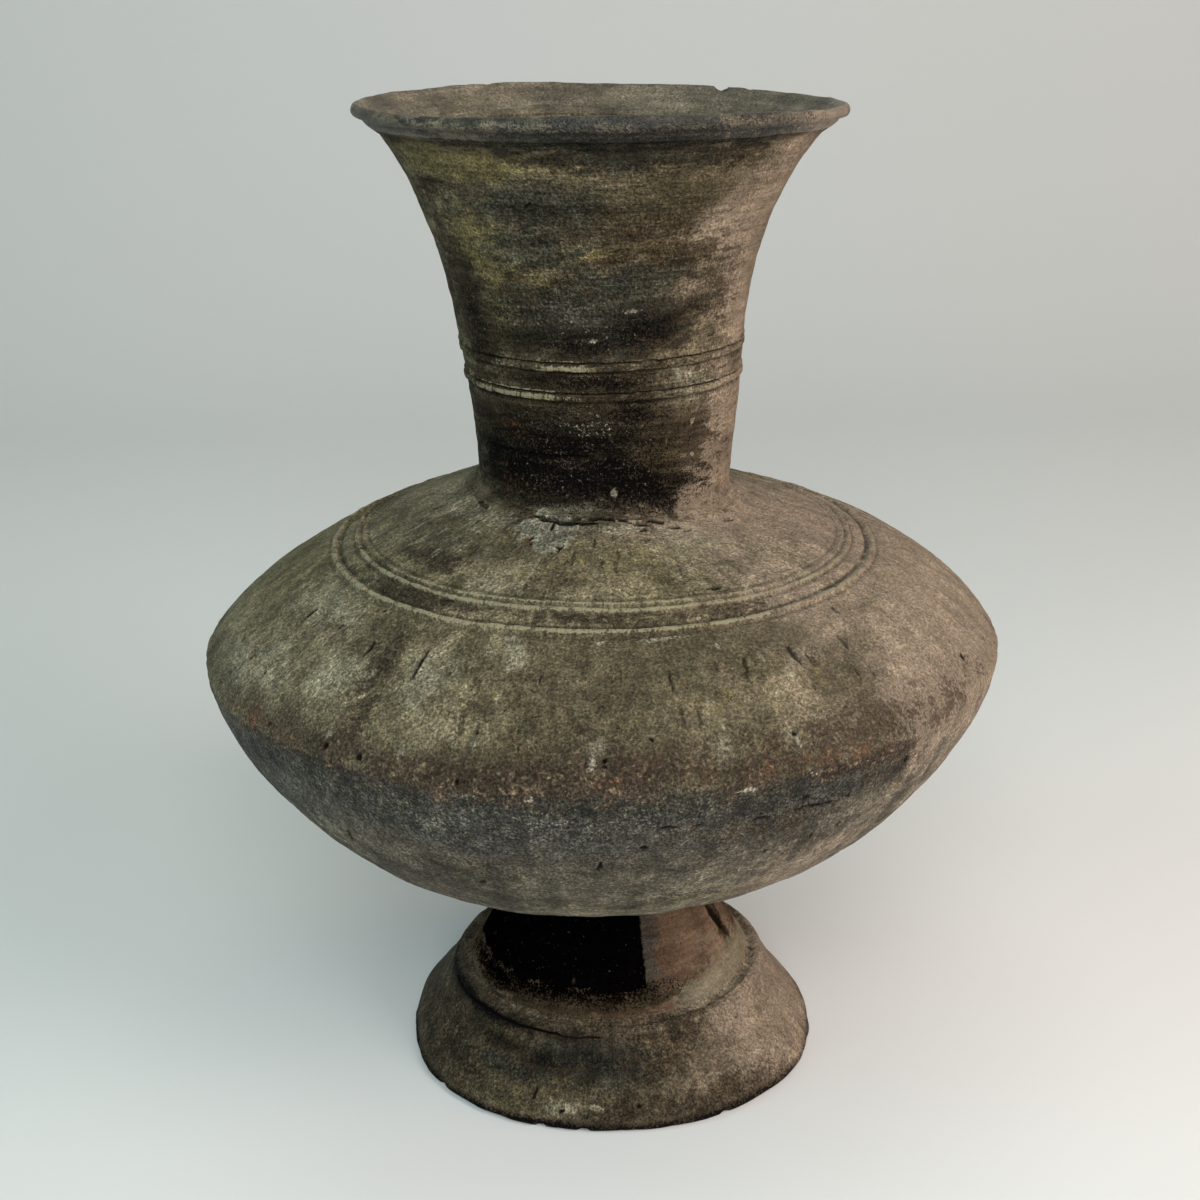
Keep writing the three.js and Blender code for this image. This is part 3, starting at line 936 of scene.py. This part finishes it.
def finish_mesh(mesh, weld, limit=50):
    """Smooth shading, but not across edges that turn by more than the limit in degrees."""
    build = bmesh.new()
    build.from_mesh(mesh)
    if weld:
        bmesh.ops.remove_doubles(build, verts=build.verts, dist=1e-6)
    for face in build.faces:
        face.smooth = True
    for edge in build.edges:
        if len(edge.link_faces) == 2 and edge.calc_face_angle(0) > radians(limit):
            edge.smooth = False
    build.to_mesh(mesh)
    build.free()


# Materials.


def srgb(red, green, blue):
    """A colour given as 0 to 255 values, as the linear numbers that a shader takes."""
    out = []
    for value in (red, green, blue):
        c = value / 255
        out.append(c / 12.92 if c <= 0.04045 else ((c + 0.055) / 1.055) ** 2.4)
    return (*out, 1.0)


TAN = srgb(138, 124, 107)
OLIVE = srgb(99, 90, 61)
# Umber also paints shade in the furrow above the shoulder's outer ring.
UMBER_AND_SHADE = srgb(54, 46, 34)
CHAR = srgb(50, 49, 41)
# Soot also paints shade along the foot's resting edge.
SOOT_AND_SHADE = srgb(4, 3, 3)
RUST = srgb(78, 54, 37)
SLATE = srgb(56, 56, 53)
CRUST_GREY = srgb(118, 115, 99)
# Dust also paints light on the left of the mouth's inside.
DUST_AND_LIGHT = srgb(126, 120, 100)
PALE = srgb(156, 150, 131)
CREAM = srgb(148, 140, 114)
DRAB = srgb(76, 69, 52)
GRIT_DARK = srgb(50, 40, 31)
GRIT_PALE = srgb(108, 95, 74)
# Painted shade and dirt for the cuts, pits, furrows and pores.
DIRT_AND_SHADE = srgb(6, 5, 4)


class Graph:
    """Short calls that add nodes to a material."""

    def __init__(self, name):
        self.material = bpy.data.materials.new(name)
        self.material.use_nodes = True
        self.tree = self.material.node_tree
        self.tree.nodes.clear()

    def node(self, kind, inputs=None, **settings):
        made = self.tree.nodes.new(kind)
        for key, value in settings.items():
            setattr(made, key, value)
        for key, value in (inputs or {}).items():
            self.feed(made.inputs[key], value)
        return made

    def feed(self, socket, value):
        if isinstance(value, bpy.types.NodeSocket):
            self.tree.links.new(value, socket)
        else:
            socket.default_value = value

    def math(self, operation, *values, clamp=False):
        inputs = dict(enumerate(values))
        return self.node("ShaderNodeMath", inputs, operation=operation, use_clamp=clamp).outputs[0]

    def vector(self, operation, *values):
        return self.node("ShaderNodeVectorMath", dict(enumerate(values)), operation=operation).outputs[0]

    def sum(self, *terms):
        """Adds up pairs of a value and its weight."""
        total = 0.0
        for value, weight in terms:
            total = self.math("MULTIPLY_ADD", value, weight, total)
        return total

    def noise(self, vector, scale, detail=4.0, roughness=0.6):
        inputs = {"Vector": vector, "Scale": scale, "Detail": detail, "Roughness": roughness}
        return self.node("ShaderNodeTexNoise", inputs).outputs["Fac"]

    def mix(self, factor, under, over):
        return self.node("ShaderNodeMix", {0: factor, 6: under, 7: over}, data_type="RGBA").outputs[2]

    def ramp(self, value, start, end):
        """0 below start and 1 above end, or the other way round where start is the higher."""
        inputs = {0: value, 1: start, 2: end}
        return self.node("ShaderNodeMapRange", inputs, interpolation_type="SMOOTHSTEP").outputs[0]

    def lay(self, under, over, mask, noise, tear, soft, cover):
        """Lays a colour over another. Most of it covers where the mask reaches a half, with an edge torn
        by a noise, and the rest is a wash that follows the mask."""
        shifted = self.math("MULTIPLY_ADD", noise, tear, self.math("SUBTRACT", mask, 0.5 * tear))
        torn = self.math("MULTIPLY", self.ramp(shifted, 0.5 - soft, 0.5 + soft), self.ramp(mask, 0.02, 0.25))
        wash = self.ramp(mask, 0.1, 1.0)
        return self.mix(self.sum((torn, 0.85 * cover), (wash, 0.15 * cover)), under, over)

    def finish(self, inputs):
        """Ends the material with a surface shader."""
        shader = self.node("ShaderNodeBsdfPrincipled", inputs)
        self.node("ShaderNodeOutputMaterial", {"Surface": shader.outputs[0]})


# How much wear, streaks along the way a piece was worked, streaks across it, and sand show in a clay.
TURNED = (2.6, 2.4, 0.4, 2.6)
BEATEN = (3.9, 1.1, 0.6, 3.2)

# What lies on the clay, from below: layer, colour, the noise that tears it, how far it is torn, how
# soft its edge is, and how much it covers.
LAID = [
    ("slate", SLATE, "wear", 2.0, 0.3, 0.85),
    ("tan", TAN, "ragged", 1.8, 0.3, 0.9),
    ("drab", DRAB, "ragged", 1.5, 0.35, 0.85),
    ("olive", OLIVE, "ragged", 5.0, 0.16, 0.9),
    ("umber", UMBER_AND_SHADE, "ragged", 4.5, 0.18, 0.92),
    ("dust", DUST_AND_LIGHT, "ragged", 3.0, 0.3, 0.75),
    ("char", CHAR, "ragged", 4.5, 0.16, 0.9),
    ("grit", GRIT_DARK, "wear", 4.0, 0.25, 0.9),
    ("rust", RUST, "wear", 4.0, 0.2, 0.7),
    ("soot_and_shade", SOOT_AND_SHADE, "fine", 6.5, 0.16, 1.0),
    ("crust", CRUST_GREY, "wear", 1.6, 0.2, 0.85),
]
# How strongly the contrast shows in plain clay, how much more so where it is dark, and how much less
# so where it is tan.
BUSY, BUSY_DARK, BUSY_TAN = 1.4, 0.6, -0.5
# The height in metres of the finest grain.
GRAIN_HEIGHT = 0.0017


def layer_masks(g):
    """The layers and marks that a mesh carries, by name."""
    masks = {}
    for attribute, layers in CHANNELS.items():
        colour = g.node("ShaderNodeAttribute", attribute_name=attribute).outputs["Color"]
        masks.update(zip(layers, g.node("ShaderNodeSeparateColor", {0: colour}).outputs))
    return masks


def clay_noises(g, grain):
    """Noises over a piece, by name. Their scales are in lumps per millimetre."""
    place = g.node("ShaderNodeTexCoord").outputs["Object"]
    mm = g.vector("MULTIPLY", place, (1000, 1000, 1000))
    along = g.node("ShaderNodeAttribute", attribute_name="along").outputs["Fac"]

    # Streaks around the pot and up and down it: noise over the direction from the axis and the place
    # along the outline.
    toward = g.vector("NORMALIZE", g.vector("MULTIPLY", mm, (1, 1, 0)))
    rise = g.node("ShaderNodeCombineXYZ", {2: along}).outputs[0]
    rings = g.vector("MULTIPLY_ADD", toward, (4, 4, 4), rise)
    slow = g.vector("MULTIPLY", rise, (0.08, 0.08, 0.08))
    drags = g.vector("MULTIPLY_ADD", toward, (60, 60, 60), slow)
    ring = g.noise(rings, 0.38, 3, 0.8)
    drag = g.noise(drags, 0.5, 3, 0.8)
    streak, cross = (ring, drag) if grain == TURNED else (drag, ring)

    # Broad clouds, wear of every size, grains of sand, single crumbs, flakes and holes.
    cloud = g.noise(mm, 0.05, 5, 0.6)
    wear = g.noise(mm, 0.11, 4, 0.95)
    sand = g.noise(mm, 1.25, 1, 0.85)
    crumb = g.noise(mm, 0.6, 1, 0.5)
    flakes = g.noise(mm, 1.0, 2, 0.6)
    holes = g.noise(g.vector("ADD", mm, (40, 40, 40)), 0.8, 2, 0.5)

    # What tears the edges of the layers: patches, which lie flat on turned clay, with wear in them.
    squash = (0.5, 0.5, 1.3) if grain == TURNED else (0.9, 0.9, 0.7)
    patches = g.noise(g.vector("MULTIPLY", mm, squash), 0.3, 3, 0.7)
    ragged = g.sum((patches, 0.55), (wear, 0.25), (streak, 0.2))
    fine = g.sum((patches, 0.2), (wear, 0.2), (sand, 0.6))
    cracks = g.sum((drag, 0.4), (wear, 0.35), (sand, 0.25))
    return {
        "streak": streak, "cross": cross, "cloud": cloud, "wear": wear, "sand": sand, "crumb": crumb,
        "flakes": flakes, "holes": holes, "ragged": ragged, "fine": fine, "cracks": cracks}


def shaded(g, colour, noise, masks, grain, contrast):
    """Wear, streaks and sand lighten and darken a colour: least on the tan, most on the dark."""
    parts = [noise[name] for name in ("wear", "streak", "cross", "sand")]
    shade = g.sum(*zip(parts, grain), (1.0, -0.5 * sum(grain)))
    dark = g.math("ADD", masks["slate"], g.math("ADD", masks["char"], masks["umber"]), clamp=True)
    tanned = g.math("MINIMUM", masks["tan"], 1.0)
    busy = g.sum((1.0, BUSY * contrast), (dark, BUSY_DARK * contrast), (tanned, BUSY_TAN * contrast))
    gain = g.math("POWER", 2.0, g.math("MULTIPLY", shade, busy))
    grey = g.node("ShaderNodeCombineXYZ", {0: gain, 1: gain, 2: gain}).outputs[0]
    return g.vector("MULTIPLY", colour, grey)


def fired_clay(name, dark, light, grain=TURNED, contrast=1.0, specks=0.6, roughness=0.86, shine=0.2):
    """Low-fired clay under the layers that its piece carries as attributes. Turned clay has streaks
    around the pot, and beaten clay has them up and down it."""
    g = Graph(name)
    masks = layer_masks(g)
    noise = clay_noises(g, grain)
    wear = noise["wear"]

    colour = g.mix(g.ramp(noise["cloud"], 0.36, 0.62), dark, light)
    for layer, over, torn_by, tear, soft, cover in LAID:
        colour = g.lay(colour, over, masks[layer], noise[torn_by], tear, soft, cover)
    flecks = g.math("MULTIPLY", masks["grit"], g.ramp(noise["crumb"], 0.56, 0.64))
    colour = g.mix(g.math("MULTIPLY", flecks, 0.45), colour, GRIT_PALE)
    colour = g.lay(colour, PALE, masks["pale"], noise["flakes"], 1.6, 0.14, 0.6)
    colour = shaded(g, colour, noise, masks, grain, contrast)

    # Pale specks of dust and temper, and dark pores painted with shade and dirt.
    speck = g.math("MULTIPLY", g.ramp(noise["flakes"], 0.62, 0.68), g.ramp(wear, 0.46, 0.56))
    colour = g.mix(g.math("MULTIPLY", speck, specks), colour, DUST_AND_LIGHT)
    pore = g.math("MULTIPLY", g.ramp(noise["holes"], 0.30, 0.26), g.ramp(wear, 0.54, 0.44))
    colour = g.mix(g.math("MULTIPLY", pore, 0.7), colour, DIRT_AND_SHADE)

    # The cordons' crests are rubbed pale and cracked across, and the hollows are painted dark with shade and
    # dirt.
    rubbed = g.math("MULTIPLY", g.ramp(masks["cream"], 0.3, 1.1), 0.7)
    crest = g.math("MULTIPLY", masks["crest"], rubbed)
    colour = g.lay(colour, CREAM, crest, noise["cracks"], 4.5, 0.2, 0.9)
    colour = g.mix(g.math("MULTIPLY", masks["hollow"], 0.96), colour, DIRT_AND_SHADE)

    rough = g.math("MULTIPLY_ADD", wear, 0.3, roughness - 0.15, clamp=True)
    level = g.sum((wear, 0.8), (noise["sand"], 0.35), (noise["streak"], 0.4), (noise["cross"], 0.2),
                  (speck, 0.12), (pore, -0.5))
    bumped = g.node("ShaderNodeBump", {"Strength": 1.0, "Distance": GRAIN_HEIGHT, "Height": level})
    g.finish({
        "Base Color": colour, "Roughness": rough, "Normal": bumped.outputs[0], "Specular IOR Level": shine})
    return g.material


# The pieces.


def inner_body(height, radius, spread, roundness, wall, to_radius, steps):
    """The body's inside from its widest ring to a radius."""
    rise = height / (1 - (radius / BELLY_R) ** spread) ** roundness
    rise -= wall if rise > 0 else -wall
    full = BELLY_R - wall
    r = full * np.cos(np.linspace(0, np.arccos(to_radius / full), steps))
    z = BELLY_Z + rise * np.clip(1 - (r / full) ** spread, 0, 1) ** roundness
    return list(zip(r, z))


def under(s, depth):
    """A radius and a height below the surface at a place along the outline."""
    r = np.interp(s, LINE_S, LINE_R) - depth * np.interp(s, LINE_S, LINE_NR)
    z = np.interp(s, LINE_S, LINE_Z) - depth * np.interp(s, LINE_S, LINE_NZ)
    return float(r), float(z)


def cordon_section(name, span, spacing, depth):
    """A strip of clay between two places along the outline, as deep as it lies in its groove."""
    start, end = span
    return shown_rows(name, (start, end, spacing)) + hidden_rows(under(end, depth), under(start, depth))


def build_foot():
    clay = fired_clay("skirt_clay", srgb(63, 55, 44), srgb(84, 74, 60), BEATEN, specks=0.25, shine=0.1)
    turns = columns("foot_skirt", FOOT_R, 0.75, 1.4)
    # The rows are closest around the crack under the ridge.
    crack = s_at_height("foot_skirt", 22.6)
    low_edge, high_edge = crack - 1.5, crack + 1.5
    section = shown_rows("foot_skirt", (0, 6, 0.45), (6, low_edge, 0.7), (low_edge, high_edge, 0.25),
                         (high_edge, START["foot_stem"], 0.5))
    section += hidden_rows(*SKIRT_HOLLOW)
    make_piece("foot_skirt", turns, section, clay)
    clay = fired_clay("stem_clay", srgb(90, 72, 57), srgb(106, 87, 70), contrast=0.6, specks=0.0, shine=0.0)
    section = shown_rows("foot_stem", (START["foot_stem"], START["lower_bowl"], 0.7))
    section += hidden_rows(*STEM_HOLLOW)
    make_piece("foot_stem", turns, section, clay)


def build_bowl():
    clay = fired_clay("bowl_clay", srgb(68, 63, 53), srgb(96, 90, 77), BEATEN, contrast=1.1, specks=0.5)
    turns = columns("lower_bowl", BELLY_R, 0.9, 1.8)
    # The rows lie wider on the underside near the stem, which is hard to see.
    hidden = s_at_height("lower_bowl", 78)
    floor = BOWL_Z + BOWL_WALL
    section = hidden_rows((0, BOWL_Z), (16, BOWL_Z))
    section += shown_rows("lower_bowl", (START["lower_bowl"], hidden, 1.6), (hidden, SEAM, 0.9))
    section += hidden_rows(*inner_body(*BOWL, BOWL_WALL, 30, 12), (18, floor), (0, floor))
    make_piece("lower_bowl", turns, section, clay)


def build_shoulder():
    clay = fired_clay("shoulder_clay", srgb(84, 77, 57), srgb(116, 107, 84), BEATEN, specks=0.35)
    turns = columns("shoulder", BELLY_R, 0.9, 1.8)
    outer = OUTER_CORDON - OUTER_HALF, OUTER_CORDON + OUTER_HALF
    inner = INNER_CORDON - INNER_HALF, INNER_CORDON + INNER_HALF
    luting = START["neck_luting"]
    bed = SHOULDER_GROOVE
    section = shown_rows("shoulder", (SEAM, outer[0], 0.9))
    section += hidden_rows(under(outer[0], bed), under(outer[1], bed))
    section += shown_rows("shoulder", (outer[1], inner[0], 0.6))
    section += hidden_rows(under(inner[0], bed), under(inner[1], bed))
    section += shown_rows("shoulder", (inner[1], luting, 0.8))
    section += hidden_rows((NECK_R, NECK_Z), (NECK_R - NECK_WALL, NECK_Z))
    section += hidden_rows(*inner_body(*SHOULDER, SHOULDER_WALL, NECK_R - NECK_WALL, 10)[::-1])
    make_piece("shoulder", turns, section, clay)
    for name, span in (("shoulder_cordon_outer", outer), ("shoulder_cordon_inner", inner)):
        section = cordon_section(name, span, 0.3, bed - GROOVE_GAP)
        make_piece(name, columns(name, BELLY_R, 0.9, 1.8), section, clay)


def build_neck():
    clay = fired_clay("neck_clay", srgb(68, 61, 48), srgb(99, 90, 72), contrast=1.1, specks=0.5, shine=0.06)
    turns = columns("neck", NECK_R + NECK_TAPER + NECK_FLARE, 0.65, 1.2)
    start = START["neck"]
    section = shown_rows("neck_luting", (START["neck_luting"], start, 0.3))
    section += hidden_rows((NECK_R - 1, 194), (NECK_R - 1, NECK_Z), (43, 188))
    make_piece("neck_luting", turns, section, clay)

    lower = LOWER_CORDON - NECK_CORDON_HALF, LOWER_CORDON + NECK_CORDON_HALF
    upper = UPPER_CORDON - NECK_CORDON_HALF, UPPER_CORDON + NECK_CORDON_HALF
    bed = NECK_GROOVE
    section = hidden_rows((NECK_R - NECK_WALL, NECK_Z), (NECK_R - 1, NECK_Z))
    section += shown_rows("neck", (start, lower[0], 0.7))
    section += hidden_rows(under(lower[0], bed), under(lower[1], bed))
    section += shown_rows("neck", (lower[1], upper[0], 0.5))
    section += hidden_rows(under(upper[0], bed), under(upper[1], bed))
    section += shown_rows("neck", (upper[1], START["rim_coil"], 0.8))
    mouth = START["neck_inside"]
    section += shown_rows("neck_inside", (mouth, mouth + 34, 1.2), (mouth + 34, START["end"] - 1, 4.5))
    make_piece("neck", turns, section, clay)
    for name, span in (("neck_cordon_lower", lower), ("neck_cordon_upper", upper)):
        section = cordon_section(name, span, 0.2, bed - GROOVE_GAP)
        make_piece(name, turns, section, clay)

    clay = fired_clay("rim_clay", srgb(78, 71, 57), srgb(110, 101, 84), roughness=0.55, shine=0.45)
    section = shown_rows("rim_coil", (START["rim_coil"], START["neck_inside"], 0.35))
    make_piece("rim_coil", turns, section, clay)


# Camera, floor and light.

# Where the photograph was taken from, in metres, and its tilts in degrees, lens and sensor in
# millimetres, and shift of the picture.
CAMERA_PLACE = (0, -0.5333, 0.342)
CAMERA_PITCH = 19.89
CAMERA_ROLL = -1.23
LENS = 54
SENSOR = 36
PICTURE_SHIFT = -0.004


def camera():
    """The photograph's view: from the front, a little above, half a metre away."""
    pitch, roll = radians(CAMERA_PITCH), radians(CAMERA_ROLL)
    forward = Vector((0, cos(pitch), -sin(pitch)))
    right = Vector((1, 0, 0))
    up = right.cross(forward)
    side = cos(roll) * right + sin(roll) * up
    top = -sin(roll) * right + cos(roll) * up
    lens = bpy.data.cameras.new("camera")
    lens.lens = LENS
    lens.sensor_width = SENSOR
    lens.shift_x = PICTURE_SHIFT
    lens.clip_start = 0.01
    view = bpy.data.objects.new("camera", lens)
    rotation = Matrix((side, top, -forward)).transposed()
    view.matrix_world = Matrix.Translation(Vector(CAMERA_PLACE)) @ rotation.to_4x4()
    bpy.context.scene.collection.objects.link(view)
    bpy.context.scene.camera = view


def sweep():
    """A pale paper floor that curves up into the backdrop."""
    front = -2.5
    start = 0.8
    bend = 0.6
    height = 2.6
    half_width = 2.6
    path = [(front, 0), (start, 0)]
    path += [(start + bend * sin(a), bend - bend * cos(a)) for a in np.linspace(0, pi / 2, 16)[1:]]
    path += [(start + bend, height)]
    build = bmesh.new()
    rows = [[build.verts.new((x, y, z)) for x in (-half_width, half_width)] for y, z in path]
    for below, above in zip(rows, rows[1:]):
        build.faces.new((below[0], below[1], above[1], above[0])).smooth = True
    mesh = bpy.data.meshes.new("sweep")
    build.to_mesh(mesh)
    build.free()
    g = Graph("paper")
    # It is painted a little lighter towards the front and the right, where more light falls: painted light.
    place = g.node("ShaderNodeTexCoord").outputs["Object"]
    x, y, _ = g.node("ShaderNodeSeparateXYZ", {0: place}).outputs
    forward = g.sum((x, 1.0), (y, -1.2), (g.noise(place, 2.0, 2, 0.5), 0.05))
    colour = g.mix(g.ramp(forward, -0.25, 0.35), srgb(218, 220, 219), srgb(234, 235, 234))
    g.finish({"Base Color": colour, "Roughness": 0.95})
    mesh.materials.append(g.material)
    floor = bpy.data.objects.new("sweep", mesh)
    bpy.context.scene.collection.objects.link(floor)


# Soft lamps: name, place, what it points at, size, power and colour.
LAMPS = [
    ("right", (1.2, -0.9, 1.0), (0, 0, 0.15), 0.8, 15.8, (1.0, 0.96, 0.93)),
    ("left", (-1.3, -0.4, 0.9), (0, 0, 0.15), 0.9, 6.6, (0.5, 0.92, 1.0)),
    ("top", (0.0, 0.1, 1.9), (0, 0.1, 0), 1.4, 7.2, (0.95, 1.0, 0.9)),
    ("right_low", (1.5, -0.1, 0.45), (0, 0, 0.1), 0.7, 5.0, (1.0, 0.5, 0.3)),
    ("front", (0.0, -1.6, 1.2), (0, 0, 0.15), 1.0, 23.2, (1.0, 0.98, 0.96)),
]


def lighting():
    for name, place, aim, size, power, colour in LAMPS:
        light = bpy.data.lights.new(name, "AREA")
        light.size = size
        light.energy = power
        light.color = colour
        lamp = bpy.data.objects.new(name, light)
        lamp.location = place
        lamp.rotation_euler = (Vector(aim) - Vector(place)).to_track_quat("-Z", "Y").to_euler()
        bpy.context.scene.collection.objects.link(lamp)
    world = bpy.data.worlds.new("world")
    world.use_nodes = True
    background = world.node_tree.nodes["Background"]
    background.inputs[0].default_value = (0.95, 1.0, 1.0, 1)
    background.inputs[1].default_value = 0.03
    bpy.context.scene.world = world
    bpy.context.scene.view_settings.view_transform = "Standard"


camera()
sweep()
lighting()
build_foot()
build_bowl()
build_shoulder()
build_neck()
